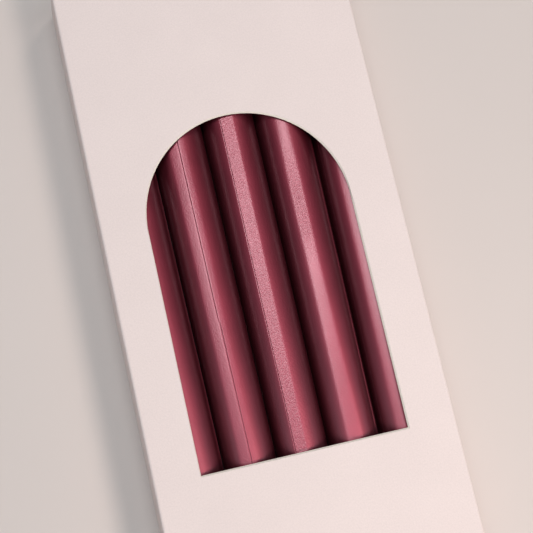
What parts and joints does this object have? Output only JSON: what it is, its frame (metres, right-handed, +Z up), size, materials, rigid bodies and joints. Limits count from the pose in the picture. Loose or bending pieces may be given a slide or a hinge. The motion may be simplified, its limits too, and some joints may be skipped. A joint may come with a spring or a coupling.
{
  "type": "boxed sealing wax sticks",
  "caption": "Flat card slide box with an arched window in its sleeve and round sealing wax sticks lying side by side in its inner tray.",
  "frame": {"origin": "middle of the back panel's underside, on which the box lies", "axes": "+X across the box to the right, +Y along it to the head end above the arch, +Z up through the window"},
  "size_m": [0.0652, 0.1426, 0.0144],
  "materials": {
    "sleeve_card": "matte",
    "tray_card": "matte",
    "card_reverse": "matte",
    "wax": "satin"
  },
  "bodies": {
    "sleeve": {"sleeve_front_panel": "sleeve_card", "sleeve_back_panel": "sleeve_card", "sleeve_left_side": "sleeve_card", "sleeve_right_side": "sleeve_card", "sleeve_glue_flap": "card_reverse"},
    "tray": {"tray_floor": "card_reverse", "tray_left_outer_wall": "tray_card", "tray_left_rim": "tray_card", "tray_left_inner_wall": "tray_card", "tray_right_outer_wall": "tray_card", "tray_right_rim": "tray_card", "tray_right_inner_wall": "tray_card", "tray_head_outer_wall": "tray_card", "tray_head_rim": "tray_card", "tray_head_inner_wall": "tray_card", "tray_foot_outer_wall": "tray_card", "tray_foot_rim": "tray_card", "tray_foot_inner_wall": "tray_card", "tray_head_left_tab": "tray_card", "tray_head_right_tab": "tray_card", "tray_foot_left_tab": "tray_card", "tray_foot_right_tab": "tray_card"},
    "stick_1": {"wax_stick_1": "wax"},
    "stick_2": {"wax_stick_2": "wax"},
    "stick_3": {"wax_stick_3": "wax"},
    "stick_4": {"wax_stick_4": "wax"},
    "stick_5": {"wax_stick_5": "wax"}
  },
  "joints": [
    {"name": "tray_slide", "type": "slide", "parent": "sleeve", "child": "tray", "axis": [0, 1, 0], "range_m": [-0.145, 0.145]},
    {"name": "stick_1_roll", "type": "hinge", "parent": "tray", "child": "stick_1", "pos_m": [-0.02346, 0, 0.00733], "axis": [-0.0157, 0.9999, 0.0039], "continuous": true},
    {"name": "stick_2_roll", "type": "hinge", "parent": "tray", "child": "stick_2", "pos_m": [-0.01173, 0, 0.00733], "axis": [-0.0079, 1, 0.0039], "continuous": true},
    {"name": "stick_3_roll", "type": "hinge", "parent": "tray", "child": "stick_3", "pos_m": [0, 0, 0.00733], "axis": [0, 1, 0.0039], "continuous": true},
    {"name": "stick_4_roll", "type": "hinge", "parent": "tray", "child": "stick_4", "pos_m": [0.01173, 0, 0.00733], "axis": [0.0079, 1, 0.0039], "continuous": true},
    {"name": "stick_5_roll", "type": "hinge", "parent": "tray", "child": "stick_5", "pos_m": [0.02346, 0, 0.00733], "axis": [0.0157, 0.9999, 0.0039], "continuous": true}
  ]
}
